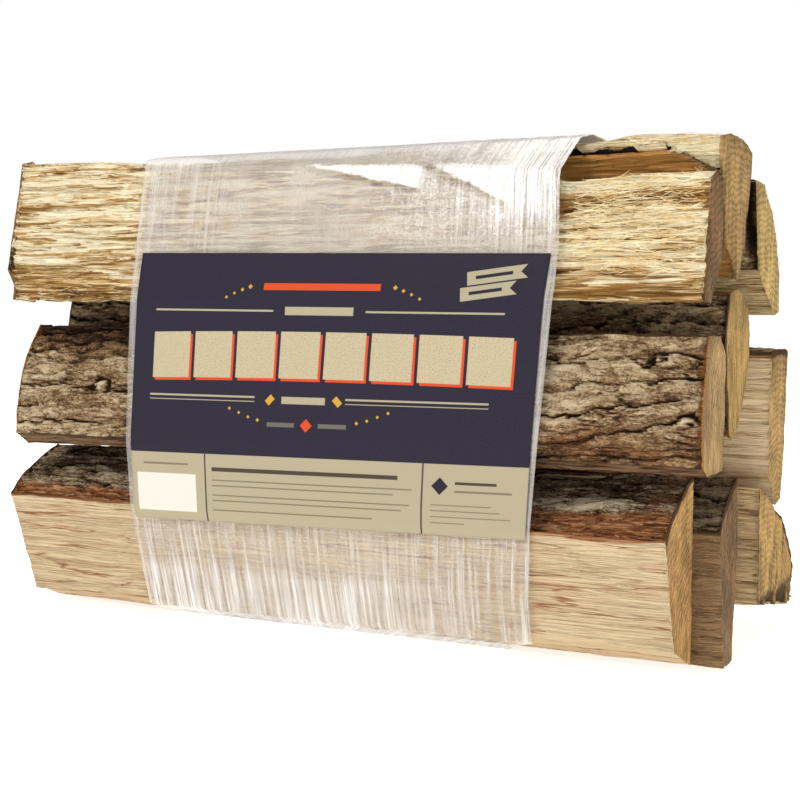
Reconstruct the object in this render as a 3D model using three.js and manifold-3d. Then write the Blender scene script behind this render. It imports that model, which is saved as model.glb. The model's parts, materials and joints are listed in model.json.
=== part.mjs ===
// A bundle of split firewood: nine logs in three rows, held by a band of stretched film, with a printed
// label on the band. Millimetres, +Z up. X runs along the logs, -Y is the front that carries the label.
// The bundle lies on the band's flat underside, with the origin under the middle of its box.

import * as THREE from 'three';
import { ConvexGeometry } from 'three/addons/geometries/ConvexGeometry.js';
import { mergeVertices } from 'three/addons/utils/BufferGeometryUtils.js';
import Module from 'manifold-3d';

const wasm = await Module();
wasm.setup();

// Driving dimensions
const BARK_POINTS = 7; // along the round side of a log
const LOG_STEPS = 4; // stretches along a log, whose sides are slightly twisted
// The film's and the label's outlines as [x, z] corners: their right edges run inwards towards the bottom.
const BAND = [
  [-123.5, -10], [114.2, -10], [115.5, 34], [119.6, 65], [126.2, 136], [130.8, 190], [130.8, 212],
  [127.6, 244], [128.5, 290], [-123.5, 290],
];
const LABEL = [[-121.2, 60], [118.7, 65], [128.6, 207.8], [-118.4, 210.8]];
const HEART = { y: 0, z: 134 }; // the middle of the stack, which the film and the label grow out from
const FILM = { inside: 1.005, outside: 1.011 }; // times the distance from the heart
const PAPER = { inside: 1.0145, outside: 1.02 };
const REACH = 10; // how far a cutting solid runs past the solid that it cuts
const DEPTH = 150; // how deep a cutting frame reaches along Y, past the stack

const WOOD = {
  cream: 0xe6d3a0,
  tan: 0xc9a978,
  honey: 0xb98d55,
  pink: 0xd9bd95,
  bark: 0x7d6650,
  grey: 0x9a8468,
};

/** The bark side of a log: an arc of the round trunk, by its pith, its radius and two angles from +Y. */
function bark(y, z, radius, from, to) {
  return Array.from({ length: BARK_POINTS }, (_, i) => {
    const angle = THREE.MathUtils.degToRad(from + ((to - from) * i) / (BARK_POINTS - 1));
    return [y + radius * Math.cos(angle), z + radius * Math.sin(angle)];
  });
}

// Each log is a wedge split off a round trunk and sawn at both ends. Its section is given at its left and
// right ends as [y, z] corners, anticlockwise as seen from the right, with bark() where the trunk's round
// is left on. Both ends have as many corners, and the log runs straight between them. lean says how far a
// sawn end is out of square, in mm of X for each mm of height.
const LOGS = [
  {
    name: 'log_top_front',
    colour: WOOD.cream,
    ends: [-217, 204.5],
    lean: [0.02, -0.03],
    left: [[-80, 183], [-60, 181], [-46, 190], [-41, 210], [-40, 237], [-41, 260], [-54, 267], [-64, 265]],
    right: [[-81, 184], [-69, 182.5], [-56, 195], [-45, 208], [-42, 234], [-41, 242], [-55, 246.5], [-64, 243]],
  },
  {
    name: 'log_top_middle',
    colour: WOOD.tan,
    ends: [-204, 201],
    lean: [0.03, 0],
    left: [
      [4, 193], [18, 218], [28, 248], [29, 262], [8, 266], [-14, 266], [-31, 262], [-33, 252], [-31, 232],
      [-20, 209],
    ],
    right: [
      [-2, 192], [12, 216], [21, 246], [24, 261], [4, 266], [-20, 268], [-37, 265], [-42, 257], [-30, 237],
      [-28, 213],
    ],
  },
  {
    name: 'log_top_back',
    colour: WOOD.honey,
    ends: [-201, 202],
    lean: [0, 0.02],
    left: [
      [36, 197], [79, 172], [92, 177], [91, 199], [82, 221], [70, 237], [50, 247], [33, 247], [31, 222],
    ],
    right: [
      [38, 199], [80, 174], [91, 176], [88, 198], [77, 219], [64, 234], [44, 246], [26, 247], [30, 230],
    ],
  },
  {
    name: 'log_middle_front',
    colour: WOOD.bark,
    ends: [-206, 206],
    lean: [-0.08, 0],
    left: [...bark(12, 100, 99, 136, 177), [-78, 98], [-46, 99], [-36, 122], [-37, 158], [-48, 169]],
    right: [...bark(16, 123, 99, 153, 190.5), [-72, 100], [-46, 100.5], [-42, 128], [-42, 158], [-52, 168]],
  },
  {
    name: 'log_middle_centre',
    colour: WOOD.tan,
    ends: [-210, 202],
    lean: [-0.04, 0],
    left: [
      ...bark(58, 153, 90, 158, 202), [-15, 104], [6, 110], [22, 130], [29, 150], [29, 170], [22, 182],
      [8, 188], [-8, 190],
    ],
    right: [
      ...bark(61, 154, 90, 158, 202), [-14, 112], [2, 122], [14, 140], [20, 152], [22, 167], [17, 179],
      [8, 186], [-6, 189],
    ],
  },
  {
    name: 'log_middle_back',
    colour: WOOD.grey,
    ends: [-205, 210.5],
    lean: [0.03, 0],
    left: [...bark(56, 73, 90, 72, 103), [32, 110], [33, 86], [50, 66], [74, 63], [85, 95]],
    right: [...bark(50, 68, 90, 75, 100), [32, 118], [33, 92], [50, 72], [60, 74], [67, 97]],
  },
  {
    name: 'log_bottom_front',
    colour: WOOD.pink,
    ends: [-213, 189],
    lean: [-0.06, 0],
    left: [...bark(-12, -4, 101.5, 104, 134), [-65, 8.5], [-38, 0], [-36, 60]],
    right: [...bark(-12, -2, 101.5, 104, 134), [-66, 13.5], [-37, 0], [-35, 60]],
  },
  {
    name: 'log_bottom_centre',
    colour: WOOD.grey,
    ends: [-203, 202.5],
    lean: [0.02, -0.04],
    left: [...bark(28, 6, 89, 108, 136), [-34, 0], [-3, 0], [-1, 60]],
    right: [...bark(30, 8, 89, 108, 136), [-35, 0], [-18, 0], [0, 60]],
  },
  {
    name: 'log_bottom_back',
    colour: WOOD.honey,
    ends: [-207, 212.5],
    lean: [0, 0],
    left: [...bark(20, -6, 72, 12, 72), [24, 82], [4, 94], [2, 8], [26, 0], [68, 0]],
    right: [...bark(21.3, 2, 72, 9, 72), [24, 80], [6, 88], [5, 25], [30, 21], [72, 13.5]],
  },
];

/** A corner of a log's section at one end (0 left, 1 right), as [x, y, z]. */
function endCorner(log, end, index) {
  const section = end ? log.right : log.left;
  const [y, z] = section[index];
  const middle = section.reduce((sum, corner) => sum + corner[1], 0) / section.length;
  return [log.ends[end] + log.lean[end] * (z - middle), y, z];
}

/** A log's corners where they cross x, on or past the stretch between its two ends, as [y, z]. */
function cornersAt(log, x) {
  return log.left.map((_, index) => {
    const [startX, startY, startZ] = endCorner(log, 0, index);
    const [endX, endY, endZ] = endCorner(log, 1, index);
    const along = (x - startX) / (endX - startX);
    return [THREE.MathUtils.lerp(startY, endY, along), THREE.MathUtils.lerp(startZ, endZ, along)];
  });
}

/** A log's solid: its right end's outline pulled to a prism, each corner then led to its real place. */
function logGeometry(log) {
  const outline = new THREE.Shape(log.right.map(([y, z]) => new THREE.Vector2(y, z)));
  const settings = { depth: 1, steps: LOG_STEPS, bevelEnabled: false };
  const geometry = new THREE.ExtrudeGeometry(outline, settings);
  const points = geometry.attributes.position;
  for (let i = 0; i < points.count; i++) {
    const index = log.right.findIndex(
      ([y, z]) => Math.hypot(y - points.getX(i), z - points.getY(i)) < 0.01,
    );
    const start = new THREE.Vector3(...endCorner(log, 0, index));
    const end = new THREE.Vector3(...endCorner(log, 1, index));
    points.setXYZ(i, ...start.lerp(end, points.getZ(i)));
  }
  return geometry;
}

/** A closed geometry as a solid that can be cut. */
function solid(geometry) {
  const bare = geometry.clone();
  bare.deleteAttribute('normal');
  bare.deleteAttribute('uv');
  const merged = mergeVertices(bare);
  return new wasm.Manifold(
    new wasm.Mesh({
      numProp: 3,
      vertProperties: merged.attributes.position.array,
      triVerts: new Uint32Array(merged.index.array),
    }),
  );
}

/** A cut solid as a geometry again. */
function cutGeometry(body) {
  const mesh = body.getMesh();
  const geometry = new THREE.BufferGeometry();
  geometry.setAttribute('position', new THREE.BufferAttribute(mesh.vertProperties, 3));
  geometry.setIndex(new THREE.BufferAttribute(mesh.triVerts, 1));
  return geometry;
}

/** The tightest skin round all the logs between two planes, grown out from the heart of the stack. */
function skin(left, right, growth) {
  const points = [left, right].flatMap((x) =>
    LOGS.flatMap((log) =>
      cornersAt(log, x).map(
        ([y, z]) =>
          new THREE.Vector3(x, HEART.y + growth * (y - HEART.y), HEART.z + growth * (z - HEART.z)),
      ),
    ),
  );
  return solid(new ConvexGeometry(points));
}

/** A band that lies round the logs, from one growth of the skin to another. */
function band(left, right, { inside, outside }) {
  return skin(left - REACH, right + REACH, outside).subtract(
    skin(left - 2 * REACH, right + 2 * REACH, inside),
  );
}

/** A cutting frame, drawn in X and Z as [x, z] corners and pulled along Y from the middle to the front. */
function frame(corners, depth) {
  const outline = new THREE.Shape(corners.map(([x, z]) => new THREE.Vector2(x, z)));
  const geometry = new THREE.ExtrudeGeometry(outline, { depth, bevelEnabled: false });
  return geometry.rotateX(Math.PI / 2); // the outline's Y becomes Z, and the depth runs towards -Y
}

/** How far a list of corners reaches to the left and to the right. */
function reach(corners) {
  const across = corners.map(([x]) => x);
  return [Math.min(...across), Math.max(...across)];
}

/** The stretched film: all the way round, open at both ends. */
function filmGeometry() {
  const window = frame(BAND, 2 * DEPTH).translate(0, DEPTH, 0);
  return cutGeometry(band(...reach(BAND), FILM).intersect(solid(window)));
}

/** The label: the front stretch of a band that lies over the film. */
function labelGeometry() {
  return cutGeometry(band(...reach(LABEL), PAPER).intersect(solid(frame(LABEL, DEPTH))));
}

/** A named piece with its own material. */
function piece(name, geometry, colour, roughness) {
  const material = new THREE.MeshStandardMaterial({ color: colour, roughness, metalness: 0 });
  const mesh = new THREE.Mesh(geometry, material);
  mesh.name = name;
  return mesh;
}

const bundle = new THREE.Group();
for (const log of LOGS) bundle.add(piece(log.name, logGeometry(log), log.colour, 0.85));
bundle.add(piece('stretch_wrap', filmGeometry(), 0xe9edee, 0.2));
bundle.add(piece('label', labelGeometry(), 0x2f3350, 0.55));

// The origin goes under the middle of the bundle, at the height of its lowest face.
const box = new THREE.Box3().setFromObject(bundle);
const middle = box.getCenter(new THREE.Vector3());
bundle.position.set(-middle.x, -middle.y, -box.min.z);

const part = new THREE.Group();
part.add(bundle);
export default part;
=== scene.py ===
# %% [markdown]
# # A bundle of split firewood
# Nine pieces of split log, some with their bark on, are held together by a
# band of clear stretch film, and a printed paper label lies across the front
# of the band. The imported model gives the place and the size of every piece.
# Each piece is made again here, in metres and in the same frame, with the
# torn fibres, bark and saw marks that a plain solid lacks.

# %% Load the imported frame
import json
import math
import bpy
import bmesh
import numpy as np
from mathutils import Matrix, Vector

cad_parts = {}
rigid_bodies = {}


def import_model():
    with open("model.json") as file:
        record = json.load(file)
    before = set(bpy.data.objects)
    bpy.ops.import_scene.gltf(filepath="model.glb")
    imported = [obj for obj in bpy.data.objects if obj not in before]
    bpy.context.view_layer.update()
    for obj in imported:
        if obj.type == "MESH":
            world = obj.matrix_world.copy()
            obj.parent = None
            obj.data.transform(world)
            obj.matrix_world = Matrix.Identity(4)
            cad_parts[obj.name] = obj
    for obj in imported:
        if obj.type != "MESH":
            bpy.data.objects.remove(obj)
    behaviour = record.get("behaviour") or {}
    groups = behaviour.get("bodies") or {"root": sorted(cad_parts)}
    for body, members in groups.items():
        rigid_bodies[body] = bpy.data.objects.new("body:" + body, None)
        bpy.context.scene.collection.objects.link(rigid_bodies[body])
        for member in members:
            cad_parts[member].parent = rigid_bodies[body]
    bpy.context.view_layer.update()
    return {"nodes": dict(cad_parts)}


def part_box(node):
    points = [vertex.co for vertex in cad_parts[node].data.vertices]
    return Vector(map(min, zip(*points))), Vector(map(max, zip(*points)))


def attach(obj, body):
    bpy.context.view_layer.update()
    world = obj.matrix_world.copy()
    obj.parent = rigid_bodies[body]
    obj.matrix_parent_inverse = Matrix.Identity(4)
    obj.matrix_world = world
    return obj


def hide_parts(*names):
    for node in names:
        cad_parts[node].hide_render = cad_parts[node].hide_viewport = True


for startup in list(bpy.data.objects):
    bpy.data.objects.remove(startup)
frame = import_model()
MM = 0.001

# %% [markdown]
# ## Camera
# The bundle is seen from its front right corner, a little above its middle.
# A camera needs only its place, its aim and a lens: a 67 mm lens on a 36 mm
# sensor keeps the long logs from spreading too much towards the viewer.

# %% Camera
CAMERA_PLACE = Vector((0.3961, -0.764, 0.1906))
TURN, DIP = math.radians(27), math.radians(4.22)
camera = bpy.data.objects.new("camera", bpy.data.cameras.new("camera"))
bpy.context.collection.objects.link(camera)
camera.data.sensor_width, camera.data.lens = 36, 67.05
camera.location = CAMERA_PLACE
aim = Vector((-math.sin(TURN) * math.cos(DIP),
              math.cos(TURN) * math.cos(DIP), -math.sin(DIP)))
camera.rotation_euler = aim.to_track_quat("-Z", "Y").to_euler()
bpy.context.scene.camera = camera
print("camera aims", [round(a, 3) for a in aim])

# %% [markdown]
# ## Floor and light
# The floor is one large pale plane, far bigger than the view. Three soft
# lamps light it as in a small studio: a key from the front left, a weaker
# fill from the right for the sawn ends, and one from above and behind that
# makes the film shine. The sky behind is white, but lights the bundle only
# softly. Standard view keeps the colours as they are given.


# %% Floor and light
def linear(hex_colour):
    """The linear colour of an sRGB hex value such as "#d2b27a"."""
    parts = [int(hex_colour[i:i + 2], 16) / 255 for i in (1, 3, 5)]
    return [p / 12.92 if p <= 0.04045 else ((p + 0.055) / 1.055) ** 2.4
            for p in parts] + [1.0]


def lamp(name, place, size, power, target=(0, 0, 0.12)):
    """A square soft lamp at place, aimed at target."""
    light = bpy.data.lights.new(name, "AREA")
    light.size, light.energy = size, power
    light.color = linear("#fff9f1")[:3]
    shown = bpy.data.objects.new(name, light)
    shown.location = place
    way = Vector(target) - Vector(place)
    shown.rotation_euler = way.to_track_quat("-Z", "Y").to_euler()
    bpy.context.collection.objects.link(shown)
    return shown


floor_mesh = bmesh.new()
bmesh.ops.create_grid(floor_mesh, x_segments=1, y_segments=1, size=40)
floor = bpy.data.objects.new("floor", bpy.data.meshes.new("floor"))
floor_mesh.to_mesh(floor.data)
floor_mesh.free()
floor.location.z = -0.0005
bpy.context.collection.objects.link(floor)
floor_paint = bpy.data.materials.new("pale_studio_floor")
floor_paint.use_nodes = True
paint = floor_paint.node_tree.nodes["Principled BSDF"].inputs
paint["Base Color"].default_value = linear("#f4f3f1")
paint["Roughness"].default_value = 0.9
paint["Emission Color"].default_value = linear("#fffdf8")
paint["Emission Strength"].default_value = 0.78
floor.data.materials.append(floor_paint)
lamp("key", (-0.35, -1.4, 1.5), 0.55, 20)
lamp("fill", (1.7, -0.7, 0.6), 0.9, 7)
lamp("top", (0.3, 0.4, 1.6), 0.7, 9)
sky = bpy.data.worlds.new("studio")
bpy.context.scene.world = sky
sky.use_nodes = True
sky_tree = sky.node_tree
backdrop = sky_tree.nodes["Background"]
backdrop.inputs[0].default_value = linear("#ffffff")
seen = sky_tree.nodes.new("ShaderNodeLightPath").outputs["Is Camera Ray"]
glow = sky_tree.nodes.new("ShaderNodeMapRange")
glow.inputs["To Min"].default_value = 0.3
glow.inputs["To Max"].default_value = 1.0
sky_tree.links.new(seen, glow.inputs["Value"])
sky_tree.links.new(glow.outputs[0], backdrop.inputs[1])
bpy.context.scene.view_settings.view_transform = "Standard"

# %% [markdown]
# ## Noise for the shapes
# Split wood and bark aren't smooth anywhere, and their marks run along the
# log. The shapes come from two patterns, worked out for all the points of a
# mesh at once. Gradient noise is a soft random swell, and stretched along X
# it gives fibres. Cells are plates with gaps between them, as in bark. Both
# start from a seed, so each run gives the same logs.


# %% Noise for the shapes
def swell(points, size, seed):
    """Gradient noise from -1 to 1, its swells about size (x, y, z) across."""
    table = np.random.default_rng(seed).normal(size=(512, 3))
    table /= np.linalg.norm(table, axis=1)[:, None]
    place = points / np.array(size) + seed * 7.31
    cell = np.floor(place).astype(np.int64)
    part = place - cell
    ease = part * part * part * (part * (part * 6 - 15) + 10)
    total = np.zeros(len(points))
    for corner in range(8):
        step = np.array([corner & 1, corner >> 1 & 1, corner >> 2])
        at = cell + step
        pick = (at[:, 0] * 73856093 ^ at[:, 1] * 19349663
                ^ at[:, 2] * 83492791) & 511
        weight = np.prod(np.where(step, ease, 1 - ease), axis=1)
        total += weight * np.sum(table[pick] * (part - step), axis=1)
    return np.clip(total * 1.6, -1, 1)


def layered(points, size, seed, layers=3, rough=0.5):
    """Swells of falling size, each layer half as wide as the last."""
    total, weight = np.zeros(len(points)), 0
    for layer in range(layers):
        total += rough ** layer * swell(points, np.array(size) / 2 ** layer,
                                        seed + layer)
        weight += rough ** layer
    return total / weight


def cells(along, across, seed):
    """Distance to the nearest gap between cells one unit wide, and each
    cell's own number from 0 to 1."""
    table = np.random.default_rng(seed).random((1024, 3))
    column, row = np.floor(along).astype(int), np.floor(across).astype(int)
    first = np.full(len(along), 9.0)
    second, own = first.copy(), np.zeros(len(along))
    for i in (-1, 0, 1):
        for j in (-1, 0, 1):
            pick = ((column + i) * 7919 ^ (row + j) * 104729) & 1023
            away = np.hypot(column + i + table[pick, 0] - along,
                            row + j + table[pick, 1] - across)
            nearer = away < first
            second = np.where(nearer, first, np.minimum(second, away))
            own = np.where(nearer, table[pick, 2], own)
            first = np.minimum(first, away)
    return second - first, own


def ramp(value, low, high):
    """0 below low, 1 above high, and a soft climb between them."""
    t = np.clip((value - low) / (high - low), 0, 1)
    return t * t * (3 - 2 * t)


trial = np.random.default_rng(1).random((1000, 3))
print("noise spread", round(float(swell(trial, (0.1, 0.1, 0.1), 3).std()), 3))

# %% [markdown]
# ## The logs' facts
# A split log is a wedge of a round trunk. Its bark is a strip of the trunk's
# outside, so the heart of the trunk and its radius say where the bark lies,
# how deep any point is under it, and how the growth rings run in the sawn
# ends. They are the same numbers as in the solid model, in millimetres,
# moved by the distance between the two origins. A log with no bark left has
# a heart too, only for its rings.

# %% The logs' facts
MOVED = np.array(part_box("log_top_back")[0]) - np.array((-0.201, 0.026, 0.172))
# heart (y, z), radius at the left end, then at the right end, and the bark's
# first and last angle at each end
LOGS = {
    "log_top_front": dict(
        seed=11, heart=(-20, 110, 190, -20, 110, 190), bark=None, tear=1.0,
        split=("#fff4d2", "#dcb97e", "#9a7038"), sawn="#8a6a45",
        grain=95, cracks="#5e3c1e"),
    "log_top_middle": dict(
        seed=23, heart=(0, 120, 160, 0, 120, 160), bark=None, tear=0.75,
        split=("#fdeec6", "#e0bd84", "#97703c"), sawn="#b08f5c",
        grain=80, cracks="#1c120a"),
    "log_top_back": dict(
        seed=31, heart=(60, 90, 170, 60, 90, 170), bark=None, tear=0.45,
        flank=-0.75,
        split=("#dcc493", "#b9985f", "#6f5230"), sawn="#c1a468"),
    "log_middle_front": dict(
        seed=47, heart=(12, 100, 99, 16, 123, 99),
        skin=("#2a1c12", "#6b4e34", "#a0815c", "#e6d3b0"), worn=0.8,
        rim=("#6b4526", "#b98a55"),
        bark=(136, 177, 153, 190.5), tear=0.5, plates=12.0,
        split=("#86684a", "#60452c", "#38261a"), sawn="#ac8d62",
        inner=0.5),
    "log_middle_centre": dict(
        seed=53, heart=(58, 153, 90, 61, 154, 90),
        bark=(158, 202, 158, 202), tear=0.5, calm=0.7,
        split=("#ddc490", "#bf9f68", "#765835"), sawn="#b6965b"),
    "log_middle_back": dict(
        seed=61, heart=(56, 73, 90, 50, 68, 90), bark=(72, 103, 75, 100),
        tear=0.3, split=("#ffe6be", "#e6c391", "#a5804f"), sawn="#bd9960",
        inner=4.0, calm=0.6, grain=120),
    "log_bottom_front": dict(
        seed=71, heart=(-12, -4, 101.5, -12, -2, 101.5),
        bark=(104, 134, 104, 134), tear=0.3,
        split=("#cfba97", "#c2a782", "#9f7b56"), sawn="#ba935c",
        grain=200, calm=0.3, veins="#8d5436", inner=1.5, outer=False,
        plates=11.0, skin=("#150f0a", "#3f2d1e", "#7a6045", "#d6c8ab")),
    "log_bottom_centre": dict(
        seed=83, heart=(28, 6, 89, 30, 8, 89), bark=(108, 136, 108, 136),
        tear=0.25, split=("#9a7e5c", "#86694a", "#5f4830"), calm=0.5,
        inner=0.5, grain=30,
        sawn="#8a6d4d", skin=("#17110b", "#3c2e20", "#75604a", "#b5a488")),
    "log_bottom_back": dict(
        seed=97, heart=(20, -6, 72, 21.3, 2, 72), bark=(12, 72, 9, 72),
        tear=0.6, split=("#dabf92", "#c3a271", "#7d5f40"), sawn="#aa8a55",
        holes=1.6, calm=0.6, grain=110),
}
print("logs", len(LOGS), "moved by", np.round(MOVED / MM, 2), "mm")


def heart_at(facts, points, length):
    """Heart y and z, and radius, of the trunk at each point, in metres."""
    share = np.clip((points[:, 0] - length[0]) / (length[1] - length[0]), 0, 1)
    ends = np.array(facts["heart"]) * MM
    ends += np.array([MOVED[1], MOVED[2], 0] * 2)
    return [ends[i] + (ends[i + 3] - ends[i]) * share for i in range(3)]


def under_bark(facts, points, length):
    """Each point's distance from the bark strip, and its angle about the
    heart in radians, from 0 to a full turn."""
    y, z, radius = heart_at(facts, points, length)
    angle = np.arctan2(points[:, 2] - z, points[:, 1] - y) % (2 * math.pi)
    if not facts["bark"]:
        return np.full(len(points), 0.1), angle
    share = np.clip((points[:, 0] - length[0]) / (length[1] - length[0]), 0, 1)
    a, b, c, d = np.radians(facts["bark"])
    held = np.clip(angle, a + (c - a) * share, b + (d - b) * share)
    away = np.hypot(points[:, 1] - y - radius * np.cos(held),
                    points[:, 2] - z - radius * np.sin(held))
    return away, angle


# %% [markdown]
# ## A log's blank
# The solid's mesh is loose triangles, so a copy is merged first, and every
# diagonal on its sides is dissolved until each side is four long quads. The
# quads are then cut finely, about a millimetre round the log and two to
# three along it, because fibres and bark need real points to be raised from.
# A map of the unrolled sides is laid on before the cuts and is carried
# along by them. The ends get a narrow rim and a square net of cuts.

# %% A log's blank
ROUND_STEP, LONG_STEP, END_STEP = 1.05 * MM, 2.6 * MM, 1.7 * MM
SPLIT, BARK, SAWN = range(3)


def quads_of(body, rings):
    """Dissolves the diagonals on the sides and the triangles of the ends."""
    ring_of = {v: int(np.argmin(np.abs(rings - v.co.x))) for v in body.verts}
    along = set()
    for v in body.verts:
        ahead = [e for e in v.link_edges
                 if ring_of[e.other_vert(v)] == ring_of[v] + 1]
        if ahead:
            along.add(min(ahead, key=lambda e:
                          (e.other_vert(v).co - v.co).yz.length))
    slanted = [e for e in body.edges if e not in along
               and ring_of[e.verts[0]] != ring_of[e.verts[1]]]
    bmesh.ops.dissolve_edges(body, edges=slanted, use_verts=False)
    for side in (-1, 1):
        end = [f for f in body.faces if f.normal.x * side > 0.8]
        bmesh.ops.dissolve_faces(body, faces=end, use_verts=False)
    return ring_of


def unroll(body, first, length):
    """Lays the map used for baking: the sides unrolled, the ends beside
    them. Returns the distance round the log."""
    layer = body.loops.layers.uv.new("OFBake")
    start = min((v for v in body.verts if abs(v.co.x - first) < 0.02),
                key=lambda v: v.co.z - v.co.y)
    around, vert, edge = [start], start, None
    while True:
        steps = [e for e in vert.link_edges if e is not edge
                 and abs(e.other_vert(vert).co.x - vert.co.x) < 0.04
                 and any(abs(f.normal.x) > 0.8 for f in e.link_faces)]
        edge = steps[0]
        vert = edge.other_vert(vert)
        if vert is start:
            break
        around.append(vert)
    gone = [0.0]
    for a, b in zip(around, around[1:] + [start]):
        gone.append(gone[-1] + (b.co - a.co).length)
    mark = dict(zip(around, gone))
    for v in around:
        chain = v
        while True:
            ahead = [e.other_vert(chain) for e in chain.link_edges
                     if e.other_vert(chain).co.x > chain.co.x + 0.05]
            if not ahead:
                break
            chain = ahead[0]
            mark[chain] = mark[v]
    size = max(length + 0.03, gone[-1] + 0.16)
    for face in body.faces:
        ended = abs(face.normal.x) > 0.8
        seam = max(mark[v] for v in face.verts) > gone[-2] - 1e-6
        for loop in face.loops:
            v = loop.vert
            if ended:
                shift = 0.01 if face.normal.x < 0 else 0.15
                at = (v.co.y + 0.1 + shift, v.co.z % 0.1 * 1.0 + gone[-1])
                at = (shift + v.co.y + 0.1,
                      gone[-1] + 0.01 + (v.co.z - face.calc_center_median().z)
                      + 0.07)
            else:
                round_it = mark[v]
                if seam and round_it == 0:
                    round_it = gone[-1]
                at = (v.co.x - first + 0.01, round_it + 0.002)
            loop[layer].uv = (at[0] / size, at[1] / size)
    return gone[-1]


def end_net(body, side):
    """Cuts one sawn end into a rim and a square net."""
    end = [f for f in body.faces if f.normal.x * side > 0.8]
    bmesh.ops.inset_region(body, faces=end, thickness=0.5 * MM,
                           use_even_offset=True)
    for axis in (1, 2):
        low = min(v.co[axis] for v in end[0].verts)
        high = max(v.co[axis] for v in end[0].verts)
        inner = [f for f in body.faces
                 if f.material_index == SAWN and f.normal.x * side > 0.8]
        inner = [f for f in inner if f.calc_area() > 4 * END_STEP ** 2
                 or axis == 2]
        geometry = set(inner)
        for f in inner:
            geometry.update(f.edges)
            geometry.update(f.verts)
        way = [0, 0, 0]
        way[axis] = 1
        for cut in np.arange(low + END_STEP / 2, high, END_STEP):
            place = [0, 0, 0]
            place[axis] = cut
            made = bmesh.ops.bisect_plane(body, geom=list(geometry),
                                          dist=1e-6, plane_co=place,
                                          plane_no=way)
            geometry = set(g for g in made["geom"] if g.is_valid)


def blank(node, fine=1.0):
    """A log as a finely cut closed mesh, with a material number for each
    kind of surface."""
    facts = LOGS[node]
    body = bmesh.new()
    body.from_mesh(frame["nodes"][node].data)
    bmesh.ops.remove_doubles(body, verts=body.verts, dist=1e-6)
    low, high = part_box(node)
    rings = np.linspace(low.x, high.x, 5)
    quads_of(body, rings)
    length = (low.x, high.x)
    points = np.array([v.co for v in body.verts])
    away, angle = under_bark(facts, points, length)
    body.verts.index_update()
    for face in body.faces:
        deep = max(away[v.index] for v in face.verts)
        if abs(face.normal.x) > 0.8:
            face.material_index = SAWN
        else:
            skin = deep < 2.4 * MM or face.normal.y < facts.get("flank", -2)
            face.material_index = BARK if skin else SPLIT
    unroll(body, low.x, high.x - low.x)
    ring_edges = [e for e in body.edges
                  if abs(e.verts[0].co.x - e.verts[1].co.x) < 0.04]
    wanted = {}
    for e in ring_edges:
        middle = (e.verts[0].co + e.verts[1].co) / 2
        wanted[e] = middle.x
    strips = {}
    for face in body.faces:
        if face.material_index == SAWN:
            continue
        pair = [e for e in face.edges if e in wanted]
        for e in pair:
            strips.setdefault(e, set()).update(pair)
    left = set(wanted)
    while left:
        strip, grow = set(), [left.pop()]
        while grow:
            e = grow.pop()
            strip.add(e)
            grow += [n for n in strips.get(e, ()) if n not in strip]
        left -= strip
        long_side = max(e.calc_length() for e in strip)
        bmesh.ops.subdivide_edges(
            body, edges=list(strip), use_grid_fill=True,
            cuts=max(1, int(long_side / (ROUND_STEP * fine))))
    lengthwise = [e for e in body.edges
                  if abs(e.verts[0].co.x - e.verts[1].co.x) > 0.05]
    bmesh.ops.subdivide_edges(
        body, edges=lengthwise, use_grid_fill=True,
        cuts=int((high.x - low.x) / 4 / (LONG_STEP * fine)))
    for side in (-1, 1):
        end_net(body, side)
    bmesh.ops.recalc_face_normals(body, faces=body.faces)
    return body


# %% Try the blank
trial_log = blank("log_top_front")
print("blank points", len(trial_log.verts), "faces", len(trial_log.faces),
      "open edges", sum(len(e.link_faces) != 2 for e in trial_log.edges))
trial_log.free()

# %% [markdown]
# ## Torn wood, bark and saw marks
# A split face follows the fibres: it has long swells, sharp ridges where a
# bundle of fibres tore away, and steps between layers. Bark is made of
# plates with cracks between them, several times longer than wide. A sawn
# end is nearly flat. All three only go inwards, so a log stays inside its
# solid and under the film. How deep each point lies is kept on the mesh, so
# that the colours can follow the shape: the finishes darken the grooves,
# cracks and fissures by their depth as painted shade, on top of the bark's
# own dark cracks, and light the upper lip of each bark plate as a painted
# highlight.

# %% Torn wood
film_low, film_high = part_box("stretch_wrap")
FILM_SPAN = (film_low.x + 1.5 * MM, film_high.x - 0.5 * MM)


def torn_depth(points, facts):
    """How far a split face lies under its flat side, in millimetres, and
    how deep that is from 0 to 1, which the finish turns into painted shade
    in the grooves."""
    seed, tear = facts["seed"], facts["tear"]
    swells = 0.5 + 0.5 * layered(points, np.array((95, 17, 17)) * MM, seed, 3)
    wide = np.abs(swell(points, np.array((80, 8, 8)) * MM, seed + 10))
    ridges = np.abs(swell(points, np.array((60, 4, 4)) * MM, seed + 11))
    narrow = np.abs(swell(points, np.array((34, 2.2, 2.2)) * MM, seed + 12))
    stairs = 3.5 * layered(points, np.array((120, 10, 10)) * MM, seed + 20, 2)
    step = stairs - np.floor(stairs)
    step = ramp(step, 0, 0.12) * (1 - ramp(step, 0.25, 1.0))
    hairs = 0.5 + 0.5 * layered(points, np.array((18, 1.7, 1.7)) * MM,
                                seed + 30, 2)
    torn = 1.5 * swells + 1.4 * (1 - wide) ** 4 + 1.3 * step
    torn += 1.0 * (1 - ridges) ** 4 + 0.7 * (1 - narrow) ** 5
    depth = tear * torn + (0.12 + 0.45 * tear) * hairs
    deep = 0.3 * (1 - wide) ** 4 + 0.3 * (1 - ridges) ** 4
    deep += 0.35 * (1 - narrow) ** 5 + 0.2 * hairs + 0.2 * step
    return depth, np.clip(deep, 0, 1)


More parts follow.
